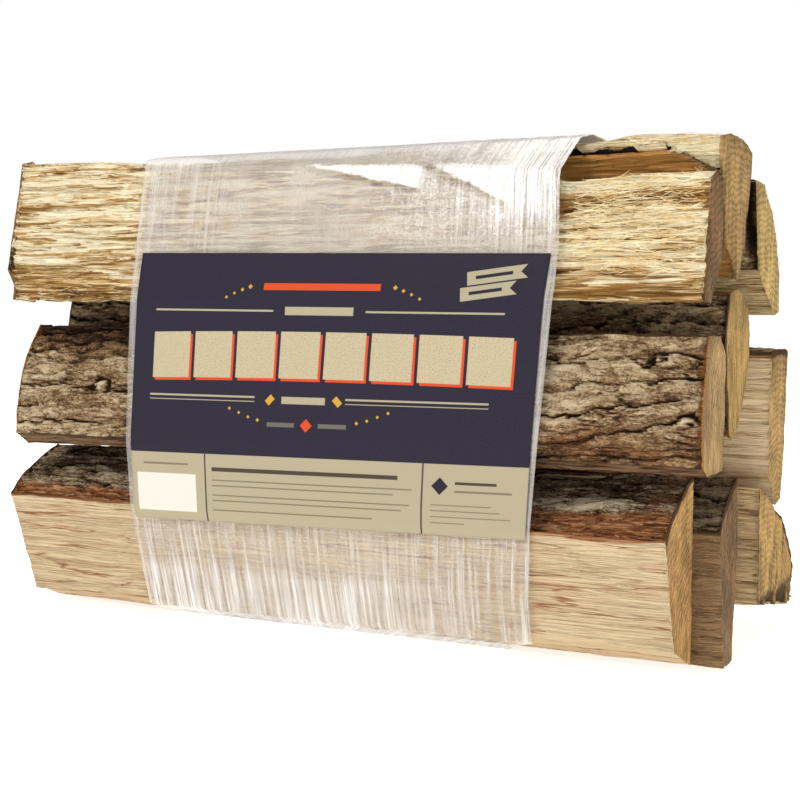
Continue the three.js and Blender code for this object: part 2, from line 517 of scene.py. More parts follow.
def crossing(skin, size, seed, layers=3):
    """Distance in millimetres to the lines where noise crosses its middle,
    measured across the grain, so that the lines have an even width."""
    value = layered(skin, np.array(size) * MM, seed, layers, 0.45)
    aside = skin + np.array((0, 0.4 * MM, 0))
    slope = (layered(aside, np.array(size) * MM, seed, layers, 0.45)
             - value) / 0.4
    return np.abs(value) / np.sqrt(slope ** 2 + (0.3 / size[1]) ** 2)


def bark_depth(points, facts, arc):
    """The same for bark, with each plate's own number from 0 to 1. arc is
    the distance round the trunk. Long wavy fissures run along the log, and
    each plate stands proud at its upper edge and sinks to its lower one. The
    0 to 1 number darkens the fissures and the lower part of each plate as
    painted shade, over the bark's own dark cracks, and lightens each plate's
    upper lip as a painted highlight."""
    seed, wide = facts["seed"], facts.get("plates", 11.0)
    skin = np.stack((points[:, 0], arc, np.zeros(len(arc))), axis=1)
    jitter = layered(skin, np.array((6, 3, 9)) * MM, seed + 6, 3, 0.6)
    wave = 0.75 * swell(skin, np.array((75, 30, 9)) * MM, seed + 1)
    wave += 0.34 * swell(skin, np.array((24, 14, 9)) * MM, seed + 2)
    wave += 0.2 * swell(skin, np.array((9, 7, 9)) * MM, seed + 4)
    wave += 0.14 * jitter
    level = arc / (wide * MM) + wave
    row = np.floor(level)
    t = level - row
    near = np.minimum(t, 1 - t) * wide
    own = np.modf(np.abs(np.sin(row * 12.9898 + seed)) * 43758.5453)[0]
    here = swell(skin + np.stack((own * 0.4, 0 * arc, 0 * arc), axis=1),
                 np.array((42, 16, 9)) * MM, seed + 12)
    open_here = ramp(here, -0.45, -0.05)
    minor = crossing(skin + jitter[:, None] * (0, 1.2 * MM, 0),
                     (30, 7.5, 9), seed + 8)
    bend = swell(skin, np.array((30, 12, 9)) * MM, seed + 9)
    gap, plate = cells(skin[:, 0] / (34 * MM) + 0.45 * jitter + own,
                       level * 0.6 + 0.3 * bend, seed + 3)
    flakes = layered(skin, np.array((14, 3.6, 9)) * MM, seed + 5, 4, 0.75)
    crag = 1 - np.abs(layered(skin, np.array((28, 4.4, 9)) * MM, seed + 15,
                              4, 0.6))
    width = 0.35 + 0.9 * np.clip(here, 0, 1)
    fissure = (1 - ramp(near, width * 0.5, width + 0.6)) * open_here
    small = (1 - ramp(minor, 0.05, 0.6)) * ramp(bend, -0.1, 0.4)
    cross = (1 - ramp(gap, 0.0, 0.05)) * ramp(bend, 0.15, 0.5)
    lip = (1 - ramp(t, 0.05, 0.17)) * ramp(t, 0.0, 0.06) * open_here
    depth = 3.0 * fissure + 1.2 * small + 1.0 * cross
    depth += 1.8 * t * (0.4 + 0.6 * open_here) + 0.8 * plate
    depth += 0.8 * (1 - ramp(minor, 0, 2.4)) + 2.0 * (0.5 + 0.5 * flakes)
    depth += 1.2 * crag
    # painted shade in the fissures, cracks and towards each plate's lower edge,
    # over the bark's own dark colour there; the lip term lightens each plate's
    # upper edge as a painted highlight
    deep = np.clip(0.95 * fissure + 0.55 * small + 0.6 * cross
                   + 0.16 * ramp(t, 0.5, 1.0) - 0.75 * lip
                   + 0.36 * flakes + 0.4 * (crag - 0.8), -0.6, 1)
    return np.minimum(depth, 6.5), deep, plate


def per_point(mesh):
    """The points, their normals and each kind's share of the faces round
    each point, as arrays."""
    count = len(mesh.vertices)
    points, normals = np.empty(count * 3), np.empty(count * 3)
    mesh.vertices.foreach_get("co", points)
    mesh.vertex_normals.foreach_get("vector", normals)
    kinds = np.empty(len(mesh.polygons), dtype=int)
    sizes = kinds.copy()
    mesh.polygons.foreach_get("material_index", kinds)
    mesh.polygons.foreach_get("loop_total", sizes)
    corners = np.empty(len(mesh.loops), dtype=int)
    mesh.loops.foreach_get("vertex_index", corners)
    share = np.zeros((count, 3))
    np.add.at(share, (corners, np.repeat(kinds, sizes)), 1)
    share /= share.sum(axis=1)[:, None]
    return points.reshape(-1, 3), normals.reshape(-1, 3), share


def sharpen_ends(mesh):
    """Marks the edges between a sawn end and the sides as sharp."""
    kinds = np.empty(len(mesh.polygons), dtype=int)
    sizes, edge = kinds.copy(), np.empty(len(mesh.loops), dtype=int)
    mesh.polygons.foreach_get("material_index", kinds)
    mesh.polygons.foreach_get("loop_total", sizes)
    mesh.loops.foreach_get("edge_index", edge)
    sawn = np.repeat(kinds, sizes) == SAWN
    beside = np.zeros((2, len(mesh.edges)), dtype=bool)
    beside[0, edge[sawn]] = True
    beside[1, edge[~sawn]] = True
    layer = mesh.attributes.new("sharp_edge", "BOOLEAN", "EDGE")
    layer.data.foreach_set("value", beside[0] & beside[1])


def keep_numbers(mesh, **numbers):
    """Stores a number for each point of a mesh under each name."""
    for name, values in numbers.items():
        layer = mesh.attributes.new(name, "FLOAT", "POINT")
        layer.data.foreach_set("value", values.astype(np.float32))


def shaped(node, body, touch=None):
    """Sinks the blank's points into wood and bark and returns the mesh."""
    facts = LOGS[node]
    seed, tear = facts["seed"], facts["tear"]
    mesh = bpy.data.meshes.new(node + "_wood")
    body.to_mesh(mesh)
    body.free()
    points, normals, share = per_point(mesh)
    low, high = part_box(node)
    length = (low.x, high.x)
    away, angle = under_bark(facts, points, length)
    y, z, radius = heart_at(facts, points, length)
    depth, deep = torn_depth(points, facts)
    plate = 0.5 + 0.5 * swell(points, np.array((60, 20, 20)) * MM, seed + 40)
    barky = np.zeros(len(points))
    if facts["bark"] or "flank" in facts:
        rough, fissure, own = bark_depth(points, facts, angle * radius)
        barky = ramp(share[:, BARK], 0.2, 0.9)
        depth = depth * (1 - barky) + rough * barky
        deep = deep * (1 - barky) + fissure * barky
        plate = plate * (1 - barky) + own * barky
    sawn = ramp(share[:, SAWN], 0.2, 0.9)
    outside = np.minimum(np.abs(points[:, 0] - FILM_SPAN[0]),
                         np.abs(points[:, 0] - FILM_SPAN[1]))
    free = (points[:, 0] < FILM_SPAN[0]) | (points[:, 0] > FILM_SPAN[1])
    free = np.where(free, ramp(outside, 0, 0.025), 0)
    depth = depth - free * (1.3 * tear * (1 - barky) + 2.4 * barky)
    # deep later darkens grooves and cracks in the finishes as painted shade;
    # pale carries painted highlight and shade set by some touches, and the
    # rubbed bark ridge of the bottom front log
    marks = dict(deep=deep, plate=plate, golden=0 * deep, pale=0 * deep,
                 bared=0 * deep)
    if touch:
        depth = depth + touch(points, normals, marks)
    inside = np.minimum(points[:, 0] - low.x, high.x - points[:, 0])
    ragged = layered(points, np.array((8, 4, 4)) * MM, seed + 50, 3, 0.6)
    worn = 1 - ramp(inside + 3.4 * MM * ragged, 0.001, 0.0055)
    depth = depth + worn * (1.4 * tear * (1 - barky) + 1.6 * barky) * (
        0.6 + 0.6 * ragged)
    step = normals * (-(depth * (1 - sawn)) * MM)[:, None]
    for axis, away_seed in ((1, 90), (2, 91)):
        step[:, axis] += free * 1.5 * MM * layered(
            points, np.array((75, 28, 28)) * MM, seed + away_seed, 2)
    tilted = points @ np.array(((1, 0, 0), (0, 0.9, 0.43), (0, -0.43, 0.9)))
    saw = 0.3 * swell(tilted, np.array((60, 2.6, 50)) * MM, seed + 60)
    saw += 0.5 * layered(points, np.array((60, 9, 14)) * MM, seed + 61, 3)
    edge = share[:, SAWN] * (1 - share[:, SAWN]) * 4
    chips = np.clip(ragged + 0.2, 0, 1) * edge * (0.12 + 0.15 * tear)
    chips += np.clip(-marks.get("end_dent", 0 * deep), 0, 99)
    step[:, 0] -= np.sign(points[:, 0]) * MM * (
        (saw + 0.6) * share[:, SAWN] + chips)
    marks.pop("end_dent", None)
    step[:, 2] -= marks.pop("drop", 0) * MM
    mesh.vertices.foreach_set("co", (points + step).ravel())
    sharpen_ends(mesh)
    keep_numbers(mesh, under=np.clip(away, 0, 0.05),
                 worn=worn * barky * facts.get("worn", 0.35), **marks)
    mesh.update()
    return mesh


# %% [markdown]
# ## Finishes of the wood
# Fresh split wood is pale cream on the ridges and tan to brown in the
# grooves, in streaks as long as the fibres. It is dry and dull, so its
# roughness is high. Just under the bark lies a red-brown inner bark. The
# marks come from noise stretched along the log, with sizes in real
# millimetres, and from the depths that were kept on the mesh, which darken
# the grooves and cracks as painted shade. Some logs also carry painted
# bands of highlight and shade that are kept on the mesh.


# %% Helper for finishes
def add(tree, kind, inputs=None, **settings):
    """Adds a node with its settings. An input is a value, or another
    node's output to link."""
    made = tree.nodes.new("ShaderNode" + kind)
    for name, value in settings.items():
        setattr(made, name, value)
    for name, value in (inputs or {}).items():
        if isinstance(value, bpy.types.NodeSocket):
            tree.links.new(value, made.inputs[name])
        else:
            made.inputs[name].default_value = value
    return made


def new_finish(name):
    """An empty material, its tree, its shader and the Object coordinates."""
    made = bpy.data.materials.new(name)
    made.use_nodes = True
    tree = made.node_tree
    shader = tree.nodes["Principled BSDF"]
    place = add(tree, "TexCoord").outputs["Object"]
    return made, tree, shader, place


def noise(tree, place, size, detail=2.0, rough=0.5, bend=0.0, turn=0.0,
          shift=0.0):
    """Noise whose marks are about size (x, y, z) millimetres."""
    scale = [1 / (s * MM) for s in size]
    mapped = add(tree, "Mapping", {"Vector": place, "Scale": scale,
                                   "Location": (shift, shift, shift),
                                   "Rotation": (turn, 0, 0)})
    return add(tree, "TexNoise", {"Vector": mapped.outputs[0], "Scale": 1.0,
                                  "Detail": detail, "Roughness": rough,
                                  "Distortion": bend}).outputs["Fac"]


def sums(tree, *terms):
    """The sum of each output times its weight, plus plain numbers."""
    total = None
    for term in terms:
        if not isinstance(term, tuple):
            term = (term, 1.0)
        value, weight = term
        base = 0.0 if total is None else total
        total = add(tree, "Math", {0: value, 1: weight, 2: base},
                    operation="MULTIPLY_ADD").outputs[0]
    return total


def between(tree, value, low, high, a=0.0, b=1.0):
    """value carried softly from low..high to a..b and held there."""
    return add(tree, "MapRange", {"Value": value, "From Min": low,
                                  "From Max": high, "To Min": a,
                                  "To Max": b},
               interpolation_type="SMOOTHSTEP").outputs[0]


def within(tree, value, low, high, soft=0.35):
    """1 where value lies between low and high, with soft edges."""
    away = add(tree, "Math", {0: value, 1: (low + high) / 2},
               operation="SUBTRACT").outputs[0]
    away = add(tree, "Math", {0: away}, operation="ABSOLUTE").outputs[0]
    half = (high - low) / 2
    return between(tree, away, half + soft / 2, half - soft / 2)


def both(tree, a, b, how="MULTIPLY"):
    """Two numbers multiplied, or put together in another way."""
    return add(tree, "Math", {0: a, 1: b}, operation=how).outputs[0]


def ramp_colour(tree, value, *stops):
    """Colours along a value, from (place, hex) pairs."""
    made = add(tree, "ValToRGB", {"Fac": value})
    band = made.color_ramp
    while len(band.elements) < len(stops):
        band.elements.new(0.5)
    for element, (place, colour) in zip(band.elements, stops):
        element.position, element.color = place, linear(colour)
    return made.outputs["Color"]


def blend_colour(tree, share, a, b, how="MIX"):
    """Colour a, with b over it by share."""
    made = add(tree, "Mix", {"Factor": share, 6: a, 7: b}, data_type="RGBA",
               blend_type=how)
    return made.outputs[2]


def kept(tree, name):
    """A number kept on the mesh."""
    return add(tree, "Attribute", attribute_name=name).outputs["Fac"]


# %% [markdown]
# ### Split wood
# A cleft face of dry hardwood. Streaks about 2 mm wide and 45 mm long carry
# most of the colour, finer fibres break them up, and the grooves in the mesh
# are painted darkest, as shade by their depth.


# %% Split wood
def dark_lines(tree, place, size, thin, **how):
    """0 on thin wavy lines and 1 off them, where noise crosses its middle."""
    value = noise(tree, place, size, **how)
    value = add(tree, "Math", {0: value, 1: 0.5}, operation="SUBTRACT")
    value = add(tree, "Math", {0: value.outputs[0]}, operation="ABSOLUTE")
    return between(tree, value.outputs[0], 0.0, thin)


def split_wood(node):
    facts = LOGS[node]
    pale, tan, groove = facts["split"]
    made, tree, shader, place = new_finish("cleft_face_of_" + node)
    shift = facts["seed"] * 0.37
    grain, calm = facts.get("grain", 60), facts.get("calm", 1.0)
    broad = noise(tree, place, (90, 13, 13), 2, shift=shift)
    streak = noise(tree, place, (grain, 2.6, 2.6), 5, 0.62, 0.15,
                   shift=shift)
    fibre = noise(tree, place, (grain / 4, 0.7, 0.7), 4, 0.65, shift=shift)
    grooves = dark_lines(tree, place, (grain * 1.2, 3.8, 3.8), 0.04,
                         detail=4.0, rough=0.55, bend=0.15, shift=shift + 3)
    thread = dark_lines(tree, place, (grain / 2, 1.6, 1.6), 0.06,
                        detail=3.0, rough=0.6, shift=shift + 5)
    deep = kept(tree, "deep")
    # deep darkens the grooves as painted shade; pale adds the painted highlight
    # and shade that the touches set
    value = sums(tree, (broad, 0.4), (streak, 1.15 * calm),
                 (fibre, 0.7 * calm), (deep, -0.35 - 0.4 * calm),
                 (grooves, 0.25),
                 (thread, 0.14), (kept(tree, "pale"), 0.55),
                 0.925 * (1 - calm) - 0.38)
    colour = ramp_colour(tree, between(tree, value, 0.2, 1.1),
                         (0.0, groove), (0.3, tan), (0.62, pale),
                         (1.0, pale))
    if "veins" in facts:
        vein = dark_lines(tree, place, (160, 9, 9), 0.02, detail=5.0,
                          rough=0.5, bend=0.3, shift=shift + 11)
        faint = dark_lines(tree, place, (140, 4.5, 4.5), 0.025, detail=5.0,
                           rough=0.5, bend=0.2, shift=shift + 13)
        held = noise(tree, place, (60, 12, 12), 2, shift=shift + 9)
        vein = both(tree, sums(tree, (vein, -0.9), 0.9),
                    between(tree, held, 0.36, 0.5))
        faint = sums(tree, (faint, -0.3), 0.3)
        colour = blend_colour(tree, both(tree, vein, faint, "MAXIMUM"),
                              colour, linear(facts["veins"]))
    golden = ramp_colour(tree, sums(tree, (streak, 0.7), (fibre, 0.3)),
                         (0.3, "#ac7233"), (0.5, "#cf9651"),
                         (0.7, "#e6b875"))
    colour = blend_colour(tree, kept(tree, "golden"), colour, golden)
    # the deepest grooves take a dark crack colour: the crack's own colour, with
    # painted shade in it
    if "cracks" in facts:
        colour = blend_colour(tree, between(tree, deep, 0.92, 1.0), colour,
                              linear(facts["cracks"]))
    if facts["bark"]:
        inner_deep = facts.get("inner", 8.0)
        ragged = noise(tree, place, (30, 3, 3), 4, 0.65, shift=shift)
        under = sums(tree, (kept(tree, "under"), 1000.0), (ragged, 7.0),
                     -3.5)
        inner = ramp_colour(tree, sums(tree, (streak, 0.6), (fibre, 0.4)),
                            (0.38, "#3c2213"), (0.5, "#85502d"),
                            (0.64, "#c48f5e"))
        colour = blend_colour(tree, between(tree, under, inner_deep + 1.5,
                                            inner_deep), colour, inner)
        outer = ramp_colour(tree, fibre, (0.3, "#2b1f15"), (0.7, "#6d5841"))
        if facts.get("outer", True):
            colour = blend_colour(tree, between(tree, under, 3.2, 1.8),
                                  colour, outer)
    height = sums(tree, (streak, 1.2 * calm), (fibre, 0.9 * calm),
                  (grooves, 0.5 * calm), (thread, 0.3))
    bump = add(tree, "Bump", {"Height": height, "Strength": 1.0,
                              "Distance": 1.1 * MM})
    tree.links.new(colour, shader.inputs["Base Color"])
    tree.links.new(bump.outputs[0], shader.inputs["Normal"])
    shader.inputs["Roughness"].default_value = 0.78
    shader.inputs["Specular IOR Level"].default_value = 0.25
    return made


# %% [markdown]
# ### Bark
# Old hardwood bark is grey-brown, paler on its ridges, and nearly black in
# the cracks. The cracks also take painted shade, and the upper lip of each
# plate a painted highlight, from the depths kept on the mesh. Each plate has
# its own tone, and fine grit less than a millimetre wide covers all of it.


# %% Bark
def bark(node):
    facts = LOGS[node]
    crack, dark, middle, ridge = facts.get(
        "skin", ("#1f160e", "#5a4630", "#94795a", "#d6c19c"))
    made, tree, shader, place = new_finish("bark_of_" + node)
    shift = facts["seed"] * 0.53
    patch = noise(tree, place, (26, 12, 12), 3, 0.6, shift=shift)
    grit = noise(tree, place, (1.5, 1.0, 1.0), 4, 0.8, shift=shift)
    strand = noise(tree, place, (11, 2.0, 2.0), 5, 0.75, 0.5, shift=shift)
    wrinkle = dark_lines(tree, place, (14, 4.5, 4.5), 0.05, detail=4.0,
                         rough=0.65, bend=0.4, shift=shift + 2)
    deep, plate = kept(tree, "deep"), kept(tree, "plate")
    # deep brings the painted shade in the cracks and the painted highlight on
    # each plate's upper lip
    value = sums(tree, (patch, 0.55), (grit, 1.15), (strand, 0.75),
                 (plate, -0.16), (deep, -0.8), (wrinkle, 0.16),
                 (kept(tree, "pale"), 0.5), -0.6)
    colour = ramp_colour(tree, between(tree, value, 0.0, 0.98),
                         (0.0, crack), (0.28, dark), (0.6, middle),
                         (1.0, ridge))
    moss = noise(tree, place, (9, 5, 5), 4, 0.65, shift=shift + 7)
    colour = blend_colour(tree, sums(tree, (between(
        tree, moss, 0.5, 0.64), 0.45)), colour, linear("#6f5a3a"),
        "MULTIPLY") if facts.get("moss") else colour
    inner = ramp_colour(tree, strand, (0.3, "#4f2d17"), (0.5, "#8f5a2c"),
                        (0.72, "#c2935c"))
    colour = blend_colour(tree, between(tree, kept(tree, "worn"), 0.3, 0.7),
                          colour, inner)
    thread = noise(tree, place, (26, 1.1, 1.1), 4, 0.65, 0.2, shift=shift)
    bare = ramp_colour(tree, sums(tree, (thread, 0.75), (strand, 0.25)),
                       (0.36, "#4f2a12"), (0.46, "#935a35"),
                       (0.55, "#c48a5c"), (0.66, "#f0d2aa"))
    colour = blend_colour(tree, kept(tree, "bared"), colour, bare)
    height = sums(tree, (strand, 1.2), (grit, 0.8), (wrinkle, 0.6))
    bump = add(tree, "Bump", {"Height": height, "Strength": 1.0,
                              "Distance": 1.6 * MM})
    tree.links.new(colour, shader.inputs["Base Color"])
    tree.links.new(bump.outputs[0], shader.inputs["Normal"])
    shader.inputs["Roughness"].default_value = 0.9
    shader.inputs["Specular IOR Level"].default_value = 0.15
    return made


# %% [markdown]
# ### Sawn ends
# A saw leaves the end grain darker than the split faces, since the open
# pores swallow light. It shows growth rings about 2.5 mm apart round the
# heart, fine saw lines across them, and thin drying cracks that point at
# the heart. Where the log has bark, its edge is a dark rim.


# %% Sawn ends
def sawn_end(node):
    facts = LOGS[node]
    made, tree, shader, place = new_finish("sawn_end_of_" + node)
    shift = facts["seed"] * 0.71
    base = facts["sawn"]
    heart = facts["heart"]
    y = (heart[0] + heart[3]) / 2 * MM + MOVED[1]
    z = (heart[1] + heart[4]) / 2 * MM + MOVED[2]
    flat = add(tree, "VectorMath", {0: place, 1: (0, 1, 1)},
               operation="MULTIPLY").outputs[0]
    from_heart = add(tree, "VectorMath", {0: flat, 1: (0, y, z)},
                     operation="SUBTRACT").outputs[0]
    away = add(tree, "VectorMath", {0: from_heart},
               operation="LENGTH").outputs["Value"]
    wobble = noise(tree, place, (80, 12, 12), 2, shift=shift)
    rings = sums(tree, (away, 1 / (3.4 * MM) * 2 * math.pi), (wobble, 16.0))
    rings = add(tree, "Math", {0: rings}, operation="SINE").outputs[0]
    lines = noise(tree, place, (80, 1.1, 40), 3, 0.6, turn=0.25, shift=shift)
    speck = noise(tree, place, (80, 0.9, 1.3), 4, 0.75, shift=shift)
    stain = noise(tree, place, (80, 16, 26), 3, 0.55, shift=shift)
    checks = dark_lines(tree, place, (80, 7, 60), 0.012, detail=3.0,
                        rough=0.6, shift=shift + 4)
    value = sums(tree, (rings, 0.06), (lines, 0.4), (speck, 0.6),
                 (stain, 0.55), (checks, 0.12), -0.36)
    # hollows and holes in the end are darkened by their depth as painted shade
    hollow = both(tree, kept(tree, "deep"), facts.get("holes", 0.15))
    value = sums(tree, value, (hollow, -1.0))
    parts = [int(base[i:i + 2], 16) for i in (1, 3, 5)]

    def toned(by):
        return "#" + "".join("%02x" % max(0, min(255, round(p * by)))
                             for p in parts)

    colour = ramp_colour(tree, between(tree, value, 0.1, 0.9),
                         (0.0, toned(0.5)), (0.35, toned(0.88)),
                         (0.65, toned(1.1)), (1.0, toned(1.3)))
    under = sums(tree, (kept(tree, "under"), 1000.0), (stain, 6.0), -3.0)
    shade = facts.get("rim", ("#2a1d12", "#6b4a2f"))
    rim = ramp_colour(tree, speck, (0.3, shade[0]), (0.7, shade[1]))
    colour = blend_colour(tree, between(tree, under, 4.5, 2.5), colour, rim)
    height = sums(tree, (lines, 0.5), (speck, 1.0), (checks, 0.6))
    bump = add(tree, "Bump", {"Height": height, "Strength": 0.7,
                              "Distance": 0.6 * MM})
    tree.links.new(colour, shader.inputs["Base Color"])
    tree.links.new(bump.outputs[0], shader.inputs["Normal"])
    shader.inputs["Roughness"].default_value = 0.85
    shader.inputs["Specular IOR Level"].default_value = 0.2
    return made


# %% [markdown]
# ## The nine logs
# Each log rides on the one body of the bundle and stands for its solid,
# which is hidden. It carries three finishes, split wood, bark and sawn end,
# and each face takes the one of its kind; on the top back log the faces
# turned to the front are bark.


# %% The nine logs
def top_front_touch(points, normals, marks):
    """A painted highlight along the torn ridge at the top edge at the right,
    bands of painted shade and painted highlight under it, furrows and pockets
    darkened as painted shade, and the broken lower left edge, darker along
    the bottom."""
    x, z = points[:, 0], points[:, 2]
    right = ramp(x, 0.10, 0.135)
    bend = 2.0 * MM * swell(points, np.array((45, 90, 90)) * MM, 805)
    top = np.where(x > 0.125, 0.2475, 0.2665 - (x + 0.2144) * 0.048)
    under = top - z + bend
    # painted highlight on the top band, painted shade under it, a lighter
    # painted band, then painted shade lower down
    bands = 0.7 * (1 - ramp(under, 0.002, 0.006))
    bands -= 0.5 * ramp(under, 0.005, 0.008) * (1 - ramp(under, 0.013,
                                                         0.018))
    bands += 0.22 * ramp(under, 0.017, 0.021) * (1 - ramp(under, 0.044,
                                                          0.050))
    bands -= 0.5 * ramp(under, 0.048, 0.060)
    marks["pale"] = bands * right
    sag = 4.6 * (1 - ramp(x, 0.13, 0.205)) * ramp(x, 0.112, 0.133)
    marks["drop"] = sag * ramp(z, top - 0.035, top + 0.004)
    lump = layered(points, np.array((22, 7, 7)) * MM, 801, 3)
    broken = (1 - ramp(z, 0.187, 0.197)) * (1 - ramp(x, -0.165, -0.13))
    pocket = broken * np.clip(lump + 0.1, 0, 1)
    low_left = (1 - ramp(z, 0.196, 0.206)) * (1 - ramp(x, -0.14, -0.11))
    marks["end_dent"] = -7.0 * (1 - ramp(z + bend, 0.197, 0.204)) * (
        1 - ramp(x, x.min(), x.min() + 0.014))
    # darker along the lower left; the pockets get painted shade
    marks["pale"] -= 0.45 * low_left
    marks["deep"] = np.clip(marks["deep"] + 1.2 * pocket, 0, 1)
    furrow = np.zeros(len(points))
    for height, first, last, sink in ((0.236, 0.12, 0.22, 2.0),
                                      (0.222, 0.12, 0.2, 1.2),
                                      (0.2, 0.10, 0.20, 1.4)):
        near = 1 - ramp(np.abs(z - height - bend), 0.0, 0.004)
        furrow += sink * near * ramp(x, first, first + 0.03) * (
            1 - ramp(x, last - 0.03, last))
    # the furrows get painted shade
    marks["deep"] = np.clip(marks["deep"] + 0.2 * furrow, 0, 1)
    return 7 * pocket + furrow


def top_middle_touch(points, normals, marks):
    """The smooth golden hollow under the splintered slab, the dark cracks round
    it with painted shade in them, and a painted highlight on the faces turned
    to the front."""
    x, z = points[:, 0], points[:, 2]
    front = ramp(-normals[:, 1], 0.1, 0.5)
    bend = 1.3 * MM * layered(points, np.array((24, 90, 90)) * MM, 811, 3)
    slab_foot = 0.2632 + bend + 0.02 * (0.15 - x)
    right_edge = 0.192 - 1.5 * (z - 0.252) + 2 * bend
    patch = front * (1 - ramp(x, right_edge - 0.003, right_edge))
    patch *= ramp(x, 0.10, 0.12)
    hollow = patch * (1 - ramp(z, slab_foot - 0.0012, slab_foot + 0.0002))
    wide = 0.0005 + np.clip(bend, 0, 1) * 1.2
    crack = patch * (1 - ramp(np.abs(z - slab_foot + wide), wide, wide
                              + 0.0007)) * ramp(x, 0.11, 0.135)
    slant = front * (1 - ramp(np.abs(x - right_edge), 0.0005, 0.0022))
    slant *= ramp(x, 0.15, 0.17) * (1 - ramp(z, slab_foot, slab_foot + 0.003))
    marks["golden"] = hollow * (1 - np.clip(crack + slant, 0, 1))
    # the cracks under the slab are darkened as painted shade
    marks["deep"] = np.clip(marks["deep"] * (1 - hollow)
                            + 2.2 * crack + 1.6 * slant, 0, 1)
    # faces turned to the front are painted lighter as a highlight
    marks["pale"] = 0.7 * front * (1 - hollow)
    swelling = ramp(normals[:, 2], 0.1, 0.5) * ramp(x, 0.134, 0.15)
    swelling *= 1 - ramp(x, 0.172, 0.2)
    return 2.6 * hollow + 5 * crack + 4 * slant - 0.8 * swelling


def middle_front_touch(points, normals, marks):
    """Darker bark along the top, painted shade under the log above, and a
    smoother lower edge.
    """
    x, z = points[:, 0], points[:, 2]
    # painted shade along the top of the bark, under the log above
    high = ramp(z, 0.150, 0.166) * (1 - ramp(x, -0.15, -0.06))
    marks["deep"] = np.clip(marks["deep"] + 0.5 * high, -0.5, 1)
    low = (1 - ramp(z, 0.112, 0.130)) * ramp(x, -0.1, 0.1)
    marks["deep"] += low * (0.2 - 0.3 * marks["deep"])
    rag = layered(points, np.array((24, 6, 6)) * MM, 851, 3, 0.6)
    marks["bared"] = 0.55 * low * ramp(rag, -0.35, 0.35)
    return 0.8 * high


def bottom_front_touch(points, normals, marks):
    """Bark is stripped along the front edge, down to the red-brown inner
    bark, with one pale rubbed ridge beside it at the right."""
    y, z, radius = heart_at(LOGS["log_bottom_front"], points,
                            (points[:, 0].min(), points[:, 0].max()))
    angle = np.arctan2(points[:, 2] - z, points[:, 1] - y) % (2 * math.pi)
    back = (math.radians(134) - angle) * radius
    x = points[:, 0]
    wide = 0.011 + 0.007 * ramp(x, -0.1, 0.1) + 0.003 * ramp(x, 0.14, 0.19)
    rag = layered(points, np.array((14, 5, 5)) * MM, 841, 4, 0.65)
    skin = ramp(normals[:, 2], 0.3, 0.5)
    marks["bared"] = skin * (1 - ramp(back + 3.5 * MM * rag, wide - 0.0012,
                                      wide + 0.0008))
    marks["bared"] = np.maximum(
        marks["bared"], 0.6 * skin * ramp(x + 6 * MM * rag, 0.172, 0.186)
        * ramp(rag, -0.3, 0.2))
    ridge = skin * (1 - ramp(np.abs(back - wide - 0.006 + 5 * MM * rag),
                             0.003, 0.0065))
    ridge *= 1 - ramp(x + 8 * MM * rag, 0.142, 0.162)
    mottle = layered(points, np.array((5, 2.4, 2.4)) * MM, 847, 3, 0.7)
    ridge *= 0.5 + 0.5 * ramp(mottle, -0.35, 0.3)
    marks["pale"] = 0.95 * ridge * ramp(x, 0.08, 0.12) - 0.06 * skin * (
        1 - ridge) * ramp(x, 0.0, 0.1)
    marks["deep"] = marks["deep"] * (1 - 0.35 * ridge)
    strips = layered(points, np.array((40, 1.8, 1.8)) * MM, 843, 3, 0.6)
    return marks["bared"] * (1.6 + 1.8 * strips) - 0.6 * ridge


def bottom_back_touch(points, normals, marks):
    """The torn right end, with holes where its lower edge broke away; their
    depth darkens them in the finish as painted shade.
    """
    x, z = points[:, 0], points[:, 2]
    end = ramp(normals[:, 0], 0.5, 0.9) * (x > 0)
    lump = layered(points, np.array((90, 9, 14)) * MM, 821, 3, 0.6)
    low = 1 - ramp(z + 3 * MM * lump, 0.016, 0.034)
    streak = layered(points, np.array((90, 2.6, 30)) * MM, 823, 3, 0.6)
    dent = end * (9 * low * np.clip(lump + 0.3, 0, 1)
                  + 1.5 * np.clip(streak, 0, 1))
    marks["end_dent"] = -dent
    either = ramp(np.abs(normals[:, 0]), 0.5, 0.9)
    # the dents' depth darkens the holes as painted shade
    marks["deep"] = np.clip(marks["deep"] * (1 - either) + dent / 4.5, 0, 1)
    return 0


TOUCHES = {"log_top_front": top_front_touch,
           "log_top_middle": top_middle_touch,
           "log_middle_front": middle_front_touch,
           "log_bottom_front": bottom_front_touch,
           "log_bottom_back": bottom_back_touch}
FINE = {"log_top_front": 0.78, "log_middle_front": 0.8,
        "log_top_middle": 0.85, "log_bottom_front": 0.9}


def make_log(node):
    mesh = shaped(node, blank(node, FINE.get(node, 1.0)), TOUCHES.get(node))
    for finish in (split_wood(node), bark(node), sawn_end(node)):
        mesh.materials.append(finish)
    mesh.polygons.foreach_set("use_smooth", [True] * len(mesh.polygons))
    log = bpy.data.objects.new(node.replace("log_", "split_"), mesh)
    bpy.context.collection.objects.link(log)
    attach(log, "root")
    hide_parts(node)
    print(log.name, "points", len(mesh.vertices), "faces",
          len(mesh.polygons), "triangles",
          sum(p.loop_total - 2 for p in mesh.polygons))
    return log


logs = {node: make_log(node) for node in LOGS}

# %% [markdown]
# ## Loose fibres
# Where a log was torn rather than cut, thin fibres hang off its face, some
# straight and some curled. Each one is a curve with a radius at each point,
# thinner towards its tip, which is how hair is drawn. All of them are then
# made one mesh, with four sides to a fibre, since there are hundreds.


